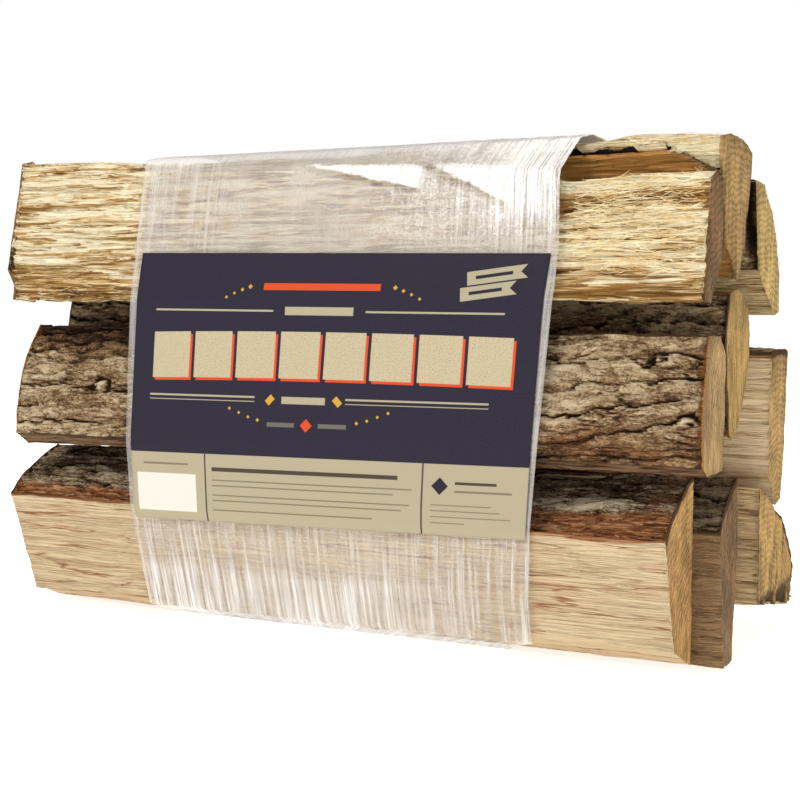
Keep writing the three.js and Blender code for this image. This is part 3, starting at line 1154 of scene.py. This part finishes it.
# %% Loose fibres
def torn_fibre_finish():
    made, tree, shader, place = new_finish("loose_wood_fibre")
    tone = noise(tree, place, (20, 3, 3), 2)
    colour = ramp_colour(tree, tone, (0.35, "#e6c98e"), (0.6, "#fff4d2"))
    tree.links.new(colour, shader.inputs["Base Color"])
    shader.inputs["Roughness"].default_value = 0.7
    return made


fibre_finish = torn_fibre_finish()


def loose_fibres(name, node, count, seed, where, long_mm=(6, 22),
                 lift_mm=1.6, thick_mm=0.2, curl=0.5, slope=0.16):
    """Fibres growing from points of a log's split faces."""
    points, normals, share = per_point(logs[node].data)
    clear = ((points[:, 0] < FILM_SPAN[0] - 0.004)
             | (points[:, 0] > FILM_SPAN[1] + 0.004))
    pool = np.flatnonzero(where(points, normals) & clear
                          & (share[:, SPLIT] > 0.99)
                          & (np.abs(normals[:, 0]) < 0.45))
    rng = np.random.default_rng(seed)
    curve = bpy.data.curves.new(name, "CURVE")
    curve.dimensions, curve.use_fill_caps = "3D", True
    curve.bevel_depth, curve.bevel_resolution = thick_mm * MM, 0
    share_of = np.linspace(0, 1, 8)
    shelf = np.linspace(points[:, 2].min(), points[:, 2].max(), 25)
    band = np.clip(np.searchsorted(shelf, points[:, 2]), 1, 24)
    left_end, right_end = [np.array([pick(points[band == i, 0])
                                     for i in range(1, 25)])
                           for pick in (np.min, np.max)]
    for root in rng.choice(pool, count):
        out = normals[root]
        side = rng.choice((-1, 1))
        across = np.cross(out, (1, 0, 0))
        tilt = rng.normal(0, slope)
        way = np.array((side, 0, 0)) + across * tilt
        way /= np.linalg.norm(way)
        across = np.cross(out, way)
        size = rng.uniform(*long_mm) * MM * rng.uniform(0.4, 1)
        rise = rng.uniform(0.1, 1) ** 2 * lift_mm * MM
        twist = rng.normal(0, curl)
        line = np.stack([points[root] + out * (0.12 * MM + rise * t ** 1.6)
                         + way * size * t * (1 - 0.12 * abs(twist) * t)
                         + across * size * 0.35 * twist * t * t
                         for t in share_of])
        reach = line[:, 0]
        if (reach.max() > right_end[band[root] - 1] - 0.001
                or reach.min() < left_end[band[root] - 1] + 0.001):
            continue
        if (reach.min() < FILM_SPAN[1] + 0.001
                and reach.max() > FILM_SPAN[0] - 0.001):
            continue
        strand = curve.splines.new("POLY")
        strand.points.add(len(line) - 1)
        strand.points.foreach_set("co", np.column_stack(
            (line, np.ones(len(line)))).ravel())
        width = rng.uniform(0.5, 1.3)
        strand.points.foreach_set("radius",
                                  width * (1 - 0.75 * share_of ** 1.5))
    drawn_curve = bpy.data.objects.new(name + "_curve", curve)
    bpy.context.collection.objects.link(drawn_curve)
    ready = bpy.context.evaluated_depsgraph_get()
    mesh = bpy.data.meshes.new_from_object(drawn_curve.evaluated_get(ready))
    bpy.data.objects.remove(drawn_curve)
    mesh.materials.clear()
    mesh.materials.append(fibre_finish)
    made = bpy.data.objects.new(name, mesh)
    bpy.context.collection.objects.link(made)
    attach(made, "root")
    print(name, "fibres", len(curve.splines), "faces", len(mesh.polygons))
    return made


loose_fibres("fibres_top_front_right", "log_top_front", 1100, 901,
             lambda p, n: (p[:, 0] > 0) & (n[:, 1] < 0.2)
             & (p[:, 2] > 0.199), (5, 20), 1.5, 0.22, 0.8, 0.2)
loose_fibres("slivers_top_front_right", "log_top_front", 160, 902,
             lambda p, n: (p[:, 0] > 0) & (n[:, 1] < 0.2)
             & (p[:, 2] > 0.205), (18, 50), 1.4, 0.36, 0.12, 0.05)
loose_fibres("fibres_top_front_left", "log_top_front", 220, 903,
             lambda p, n: (p[:, 0] < 0) & (n[:, 1] < 0.2), (5, 18), 0.9)
loose_fibres("fibres_top_middle", "log_top_middle", 170, 904,
             lambda p, n: (p[:, 0] > 0) & (p[:, 2] > 0.262)
             & (n[:, 2] < 0.8), (4, 14), 0.8)

# %% [markdown]
# ## Stretch film
# The film is a clear sheet wound tight round the middle of the bundle, so
# it touches only the outermost edges and runs straight between them. It
# could be a simulated cloth, but a tube that is drawn in until it meets the
# solid's film gives the same tight shape in one step. The tube is far finer
# than the solid, so that the pleats of the stretched film can be raised.


# %% Stretch film
from mathutils.bvhtree import BVHTree


def surface_of(node):
    """A tree of a solid's faces, to find where a straight line meets it."""
    data = frame["nodes"][node].data
    return BVHTree.FromPolygons([v.co for v in data.vertices],
                                [tuple(p.vertices) for p in data.polygons])


AROUND, ALONG = 620, 124
film_points = np.array([v.co for v in frame["nodes"]["stretch_wrap"]
                        .data.vertices])
right_rim = film_points[film_points[:, 0] > 0.1]
right_rim = right_rim[np.argsort(right_rim[:, 2])]
film_centre = Vector((0, 0, 0.135))
wrap_surface = surface_of("stretch_wrap")

tube = bmesh.new()
bmesh.ops.create_cone(tube, cap_ends=False, segments=AROUND, radius1=0.25,
                      radius2=0.25, depth=1.0)
lengthwise = [e for e in tube.edges
              if abs(e.verts[0].co.z - e.verts[1].co.z) > 0.5]
bmesh.ops.subdivide_edges(tube, edges=lengthwise, cuts=ALONG,
                          use_grid_fill=True)
bmesh.ops.recalc_face_normals(tube, faces=tube.faces)
film_mesh = bpy.data.meshes.new("film_band")
tube.to_mesh(film_mesh)
tube.free()
places = np.empty(len(film_mesh.vertices) * 3)
film_mesh.vertices.foreach_get("co", places)
places = places.reshape(-1, 3)
share_along = places[:, 2] + 0.5
turn = np.arctan2(places[:, 1], places[:, 0])


def meet(x, angle):
    """Where a line towards the middle meets the outside of the film."""
    way = Vector((0, math.cos(angle), math.sin(angle)))
    hit = wrap_surface.ray_cast(Vector((x, film_centre.y, film_centre.z))
                                + way * 0.3, -way)
    return hit[0]


drawn = np.empty_like(places)
for i, (share, angle) in enumerate(zip(share_along, turn)):
    x = film_low.x + share * 0.24
    for _ in range(2):
        spot = meet(min(max(x, film_low.x + 0.001), 0.113), angle)
        right = np.interp(spot.z, right_rim[:, 2], right_rim[:, 0])
        if spot.z < 0.02:
            right -= 0.024 * min(max(spot.y + 0.066, 0) / 0.02, 1)
        x = film_low.x + share * (right - film_low.x)
    spot = meet(min(max(x, film_low.x + 0.001), right - 0.001), angle)
    drawn[i] = (x, spot.y, spot.z)
print("film points", len(drawn), "width mm",
      round(np.ptp(drawn[:, 0]) / MM, 1))

# %% [markdown]
# Pleats run round the bundle, since the film is pulled that way, and are
# strongest near its edges and where it turns over the top. They only stand
# outwards, by less than a millimetre. The film itself is far thinner than
# that, and gets its thickness last.

# %% Pleats
order = np.argsort(turn[share_along < 1e-6])
ring = drawn[share_along < 1e-6][order]
gone_round = np.concatenate(([0], np.cumsum(np.linalg.norm(
    np.diff(np.vstack((ring, ring[:1]))[:, 1:], axis=0), axis=1))))
FILM_ROUND = gone_round[-1]
ring_turn = np.append(turn[share_along < 1e-6][order], math.pi + 1e-6)
arc = np.interp(turn, ring_turn, gone_round)
flat_film = np.stack((drawn[:, 0], arc, np.zeros(len(arc))), axis=1)
outward = drawn - np.array(film_centre)
outward[:, 0] = 0
outward /= np.linalg.norm(outward, axis=1)[:, None]
at_edge = 1 - ramp(np.minimum(share_along, 1 - share_along), 0.0, 0.12)
over_top = ramp(drawn[:, 2], 0.19, 0.25) * ramp(drawn[:, 0], 0.0, 0.09)
under_label = (ramp(drawn[:, 2], 0.056, 0.061)
               * (1 - ramp(drawn[:, 2], 0.211, 0.215))
               * (1 - ramp(drawn[:, 1], -0.076, -0.074))
               * (1 - ramp(drawn[:, 0], 0.119, 0.125)))
pleat = np.abs(swell(flat_film, (0.0035, 0.06, 1), 201))
fold = np.clip(layered(flat_film + 0.3 * MM * pleat[:, None],
                       (0.011, 0.05, 1), 211, 3, 0.6), 0, 1)
crumple = np.abs(layered(flat_film, (0.009, 0.009, 1), 221, 3, 0.6))
rise = 0.16 * (1 - pleat) + 0.55 * fold * (0.25 + at_edge + over_top)
rise += 0.9 * crumple * over_top
rise = (0.25 + rise) * (1 - under_label)
drawn += outward * (rise * MM)[:, None]
film_mesh.vertices.foreach_set("co", drawn.ravel())
keep_numbers(film_mesh, pleat=rise)
film_map = film_mesh.uv_layers.new(name="OFBake")
for face in film_mesh.polygons:
    turned = [arc[v] / FILM_ROUND for v in face.vertices]
    wraps = max(turned) - min(turned) > 0.5
    for corner, v, t in zip(face.loop_indices, face.vertices, turned):
        film_map.data[corner].uv = (share_along[v],
                                    t + 1 if wraps and t < 0.5 else t)
print("film round the bundle", round(FILM_ROUND / MM), "mm, rise",
      round(rise.max(), 2), "mm")

# %% [markdown]
# ### The film's finish
# Stretch film is polyethylene a few hundredths of a millimetre thick. Drawn
# tight in several layers it turns milky, with fine white streaks along the
# pull. Its colour is near white, and what changes is how much it hides: the
# shader's alpha is low between the streaks and high in them. It is smooth,
# so it has a sharp shine. Where it folds over the top, painted highlights
# make it whiter and painted shadows darken it under each fold, and the
# pleats at the top right, the upper right and the film over the top edge
# get painted glare.


# %% The film's finish
def stretch_film():
    made = bpy.data.materials.new("stretched_polyethylene_film")
    made.use_nodes = True
    tree = made.node_tree
    shader = tree.nodes["Principled BSDF"]
    object_place = add(tree, "TexCoord").outputs["Object"]
    wound = add(tree, "UVMap", uv_map="OFBake").outputs[0]
    wound = add(tree, "VectorMath", {0: wound, 1: (0.25, FILM_ROUND, 0)},
                operation="MULTIPLY").outputs[0]
    thread = noise(tree, wound, (0.8, 60, 1), 4, 0.65)
    streak = noise(tree, wound, (2.6, 90, 1), 4, 0.65, 0.2)
    haze = noise(tree, wound, (30, 40, 1), 2)
    split = add(tree, "SeparateXYZ", {0: object_place})
    height, right = split.outputs["Z"], split.outputs["X"]
    low = between(tree, height, 0.08, 0.062)
    # whiter at the upper right: denser streaks, and painted glare
    high_right = add(tree, "Math", {
        0: between(tree, right, 0.03, 0.11),
        1: between(tree, height, 0.2, 0.25)}, operation="MULTIPLY").outputs[0]
    ends = both(tree, between(tree, right, -0.05, -0.08),
                between(tree, right, 0.06, 0.1), "ADD")
    busy = sums(tree, (ends, 0.55), (low, 1.25), (high_right, 0.6), 0.22)
    settled = both(tree, between(tree, height, 0.044, 0.03),
                   between(tree, right, 0.10, 0.03))
    lively = sums(tree, (thread, 0.55), (streak, 0.75), -0.65)
    lively = both(tree, lively, busy)
    crease = noise(tree, wound, (9, 9, 1), 4, 0.7)
    ruffled = sums(tree, height, (crease, 0.006), -0.003)

    def above(foot, slope):
        """Height over a slanting line across the front."""
        return sums(tree, ruffled, (right, slope), -foot)

    # the two white folds over the top are painted highlights
    first, second = above(0.2543, 0.213), above(0.2828, 0.469)
    fold = both(tree, between(tree, first, -0.0004, 0.0008),
                between(tree, above(0.2574, 0.036), 0.0006, -0.001))
    fold = both(tree, fold, between(tree, right, 0.058, 0.05))
    wing_highlight = both(tree, between(tree, second, -0.0004, 0.0012),
                between(tree, above(0.2574, 0.036), 0.001, -0.001))
    wing_highlight = both(tree, wing_highlight, both(tree, between(tree, right, 0.058, 0.064),
                                 between(tree, right, 0.112, 0.094)))
    fold = both(tree, fold, both(tree, wing_highlight, 0.8), "MAXIMUM")
    fold = both(tree, fold, sums(tree, (thread, 0.9), (crease, 0.6), 0.1))
    # painted shadow under the first fold
    shade = both(tree, between(tree, first, -0.004, -0.001),
                 between(tree, first, 0.0, -0.0006))
    shade = both(tree, shade, both(tree, between(tree, right, -0.02, 0.02),
                                   between(tree, right, 0.056, 0.05)))
    # painted shadow under the second fold
    gap = both(tree, between(tree, second, -0.006, -0.002),
               between(tree, second, 0.0, -0.0008))
    gap = both(tree, gap, both(tree, between(tree, right, 0.05, 0.058),
                               between(tree, right, 0.106, 0.098)))
    shade = both(tree, shade, gap, "MAXIMUM")
    wrinkled = dark_lines(tree, wound, (7, 9, 1), 0.03, detail=4.0,
                          rough=0.7, bend=0.5)
    wrinkled = both(tree, sums(tree, (wrinkled, -1.0), 1.0), both(
        tree, between(tree, right, 0.01, 0.05),
        between(tree, height, 0.208, 0.222)))
    # painted glare on the gathered pleats at the top right
    gathered_pleat_glare = both(tree, between(tree, right, 0.094, 0.108),
                    between(tree, height, 0.218, 0.240))
    gathered_pleat_glare = both(tree, gathered_pleat_glare, between(tree, thread, 0.38, 0.58))
    # painted highlight where the film lies over the top edge
    top_edge_sheen = between(tree, height, 0.2585, 0.263)
    tuft = noise(tree, wound, (6, 6, 1), 5, 0.8, 0.9)
    tuft = both(tree, between(tree, tuft, 0.5, 0.62), both(
        tree, between(tree, right, 0.01, 0.06), between(tree, height, 0.205,
                                                        0.225)))
    white = sums(tree, lively, (haze, 0.3), (low, -0.08), (settled, 0.17),
                 (high_right, 0.12), (fold, 0.4), (shade, -0.17),
                 (tuft, 0.06), (wrinkled, 0.2), (gathered_pleat_glare, 0.42),
                 (top_edge_sheen, 0.1), (kept(tree, "pleat"), 0.08), 0.1)
    alpha = between(tree, white, 0.0, 0.95, 0.1, 0.92)
    colour = ramp_colour(tree, white, (0.1, "#dcd8d4"), (0.34, "#e8e5e3"),
                         (0.62, "#fffefd"))
    bump = add(tree, "Bump", {"Height": sums(tree, (thread, 1.0),
                                             (streak, 1.5)),
                              "Strength": 0.6, "Distance": 0.5 * MM})
    tree.links.new(colour, shader.inputs["Base Color"])
    tree.links.new(alpha, shader.inputs["Alpha"])
    tree.links.new(bump.outputs[0], shader.inputs["Normal"])
    shader.inputs["Roughness"].default_value = 0.22
    shader.inputs["IOR"].default_value = 1.5
    return made


film_mesh.materials.append(stretch_film())
film_mesh.polygons.foreach_set("use_smooth", [True] * len(film_mesh.polygons))
film = bpy.data.objects.new("film_band", film_mesh)
bpy.context.collection.objects.link(film)
wall = film.modifiers.new("wall", "SOLIDIFY")
wall.thickness, wall.offset = 0.12 * MM, 1
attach(film, "root")
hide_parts("stretch_wrap")

# %% [markdown]
# ## Label
# A paper label lies across the front of the film. It is a flat net of
# points laid over the front and moved straight back until each point meets
# the solid's label, so it bends over the logs as stiff paper does.

# %% Label
label_surface = surface_of("label")
label_points = np.array([v.co for v in frame["nodes"]["label"]
                         .data.vertices])
corner_at = {(a, b): label_points[np.argmax(
    label_points[:, 0] * a + label_points[:, 2] * b)]
    for a in (-1, 1) for b in (-1, 1)}
ACROSS, UP = 150, 100
sheet = bmesh.new()
bmesh.ops.create_grid(sheet, x_segments=ACROSS, y_segments=UP, size=0.5)
label_mesh = bpy.data.meshes.new("paper_label")
sheet.to_mesh(label_mesh)
sheet.free()
flat = np.empty(len(label_mesh.vertices) * 3)
label_mesh.vertices.foreach_get("co", flat)
flat = flat.reshape(-1, 3) + 0.5
laid = np.empty_like(flat)
for i, (u, v, _) in enumerate(flat):
    inner_u, inner_v = 0.004 + 0.992 * u, 0.006 + 0.988 * v
    x, z = [(corner_at[-1, -1][k] * (1 - inner_u) * (1 - inner_v)
             + corner_at[1, -1][k] * inner_u * (1 - inner_v)
             + corner_at[-1, 1][k] * (1 - inner_u) * inner_v
             + corner_at[1, 1][k] * inner_u * inner_v) for k in (0, 2)]
    spot = label_surface.ray_cast(Vector((x, -0.3, z)), Vector((0, 1, 0)))[0]
    laid[i] = (x, spot.y if spot else -0.085, z)
wave = 0.25 * layered(laid, (0.05, 1, 0.03), 301, 2)
laid[:, 1] -= (0.35 + wave) * MM
label_mesh.vertices.foreach_set("co", laid.ravel())
label_map = label_mesh.uv_layers.new(name="OFBake")
for loop in label_mesh.loops:
    label_map.data[loop.index].uv = flat[loop.vertex_index, :2]
LABEL_WIDE = (corner_at[1, 1] - corner_at[-1, 1])[0]
LABEL_TALL = (corner_at[-1, 1] - corner_at[-1, -1])[2]
print("label", round(LABEL_WIDE / MM), "by", round(LABEL_TALL / MM), "mm")

# %% [markdown]
# ### Printing
# The label is coated paper with a plain printed pattern: a navy panel over
# a cream strip, with thin rules, blank blocks, pennants and diamonds. It
# carries no words. Each shape is made from the label's own flat map, in
# millimetres from its lower left corner, so its edges stay sharp.


# %% The printed shapes
INKS = {name: linear(ink) for name, ink in dict(
    navy="#282533", cream="#aaa289", orange="#d04c28", gold="#c79a3a",
    grey="#6a6660", dark="#4a4038", fine="#7d755f", white="#dcdad4").items()}
STRIP = 0.257  # the cream strip's share of the label's height
# left and right edges as shares of the label's width, then the lower and
# upper edges as shares of its height, and the ink
BARS = [
    (0, 1, 0, STRIP, "cream"),
    (0.34, 0.63, 0.865, 0.89, "orange"), (0.40, 0.57, 0.775, 0.805, "cream"),
    (0.056, 0.37, 0.786, 0.793, "cream"), (0.60, 0.92, 0.786, 0.793, "cream"),
    (0.05, 0.335, 0.470, 0.477, "cream"), (0.565, 0.90, 0.470, 0.477, "cream"),
    (0.05, 0.335, 0.456, 0.459, "cream"), (0.565, 0.90, 0.456, 0.459, "cream"),
    (0.405, 0.515, 0.452, 0.478, "cream"),
    (0.37, 0.44, 0.367, 0.383, "grey"), (0.50, 0.57, 0.367, 0.383, "grey"),
]
# the same inside the strip, with heights as shares of the strip's height
STRIP_BARS = [
    (0.205, 0.209, 0, 1, "dark"), (0.757, 0.761, 0, 1, "dark"),
    (0.015, 0.18, 0.13, 0.69, "white"), (0.035, 0.16, 0.82, 0.85, "fine"),
    (0.225, 0.70, 0.75, 0.81, "dark"), (0.835, 0.93, 0.72, 0.76, "dark"),
    (0.225, 0.735, 0.61, 0.63, "fine"), (0.225, 0.69, 0.53, 0.55, "fine"),
    (0.225, 0.73, 0.39, 0.41, "fine"), (0.225, 0.71, 0.31, 0.33, "fine"),
    (0.225, 0.64, 0.17, 0.19, "fine"), (0.835, 0.965, 0.61, 0.64, "fine"),
    (0.78, 0.92, 0.42, 0.435, "fine"), (0.78, 0.94, 0.34, 0.355, "fine"),
    (0.78, 0.965, 0.255, 0.27, "fine"), (0.78, 0.86, 0.17, 0.185, "fine"),
]
# turned shapes: middle as shares of the label, half width and half height in
# millimetres, tilt in degrees, and the ink
TURNED = [
    (0.893, 0.925, 16.5, 3.6, -8, "cream"),
    (0.878, 0.868, 15.5, 3.6, -8, "cream"),
    (0.960, 0.941, 3.0, 3.0, 37, "navy"), (0.941, 0.883, 3.0, 3.0, 37, "navy"),
    (0.886, 0.924, 10.0, 0.9, -8, "navy"), (0.871, 0.867, 9.0, 0.9, -8, "navy"),
    (0.375, 0.465, 1.8, 2.6, 45, "gold"), (0.545, 0.465, 1.8, 2.6, -45, "gold"),
    (0.47, 0.375, 2.6, 2.6, 45, "orange"), (0.80, 0.178, 3.4, 3.4, 45, "navy"),
] + [(middle + side * off, up, size, size, 45, "gold")
     for middle, dots in ((0.485, ((0.18, 0.877, 1.0), (0.20, 0.866, 0.8),
                                   (0.22, 0.853, 0.7), (0.24, 0.838, 0.7))),
                          (0.47, ((0.125, 0.39, 0.8), (0.15, 0.40, 0.7),
                                  (0.175, 0.415, 0.7), (0.2, 0.43, 0.7))))
     for off, up, size in dots for side in (-1, 1)]
print("printed shapes", len(BARS) + len(STRIP_BARS) + len(TURNED))


# %% Printing
def printed_paper():
    made = bpy.data.materials.new("printed_coated_paper")
    made.use_nodes = True
    tree = made.node_tree
    shader = tree.nodes["Principled BSDF"]
    own = add(tree, "UVMap", uv_map="OFBake").outputs[0]
    own = add(tree, "VectorMath", {0: own, 1: (LABEL_WIDE / MM,
                                               LABEL_TALL / MM, 0)},
              operation="MULTIPLY").outputs[0]
    split = add(tree, "SeparateXYZ", {0: own})
    x, y = split.outputs["X"], split.outputs["Y"]

    def patch(left, right, low, high, px=x, py=y):
        return both(tree, within(tree, px, left, right),
                    within(tree, py, low, high))

    grain = add(tree, "TexNoise", {"Vector": own, "Scale": 1.6,
                                   "Detail": 2.0}).outputs["Fac"]
    colour = ramp_colour(tree, grain, (0.3, "#201d2a"), (0.7, "#302d3e"))
    wide, tall = LABEL_WIDE / MM, LABEL_TALL / MM
    worn = ramp_colour(tree, grain, (0.3, "#8a826b"), (0.46, "#bdb294"))
    # the row of blank blocks, each with an orange lower right edge
    bulge = add(tree, "Math", {0: x, 1: wide / 2}, operation="SUBTRACT")
    bulge = both(tree, bulge.outputs[0], bulge.outputs[0])
    bulge = both(tree, bulge, 1 / 9000)
    for shift, ink in ((1.5, INKS["orange"]), (0.0, worn)):
        px = both(tree, x, shift, "SUBTRACT")
        py = both(tree, y, shift, "ADD")
        cell = add(tree, "Math", {0: px, 1: 12.0}, operation="SUBTRACT")
        cell = both(tree, cell.outputs[0], (wide - 24) / 8, "DIVIDE")
        cell = add(tree, "Math", {0: cell}, operation="FRACT").outputs[0]
        row = within(tree, px, 12, wide - 12)
        tile = within(tree, cell, 0.06, 0.94, 0.02)
        rise = both(tree, py, bulge, "ADD")
        band = both(tree, within(tree, rise, tall * 0.545, tall * 0.715),
                    both(tree, row, tile))
        colour = blend_colour(tree, band, colour, ink)
    for left, right, low, high, name in BARS + [
            (a, b, c * STRIP, d * STRIP, e) for a, b, c, d, e in STRIP_BARS]:
        shape = patch(wide * left, wide * right, tall * low, tall * high)
        colour = blend_colour(tree, shape, colour, INKS[name])
    for across, up, half_wide, half_tall, tilt, name in TURNED:
        turned = add(tree, "VectorRotate", {
            "Vector": own, "Center": (wide * across, tall * up, 0),
            "Angle": math.radians(tilt)}, rotation_type="Z_AXIS")
        turned = add(tree, "SeparateXYZ", {0: turned.outputs[0]})
        shape = patch(wide * across - half_wide, wide * across + half_wide,
                      tall * up - half_tall, tall * up + half_tall,
                      turned.outputs["X"], turned.outputs["Y"])
        colour = blend_colour(tree, shape, colour, INKS[name])
    tree.links.new(colour, shader.inputs["Base Color"])
    shader.inputs["Roughness"].default_value = 0.6
    shader.inputs["Specular IOR Level"].default_value = 0.15
    return made


label_mesh.materials.append(printed_paper())
label_mesh.polygons.foreach_set("use_smooth",
                                [True] * len(label_mesh.polygons))
label = bpy.data.objects.new("paper_label", label_mesh)
bpy.context.collection.objects.link(label)
stock = label.modifiers.new("stock", "SOLIDIFY")
stock.thickness, stock.offset = 0.2 * MM, 1
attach(label, "root")
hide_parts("label")
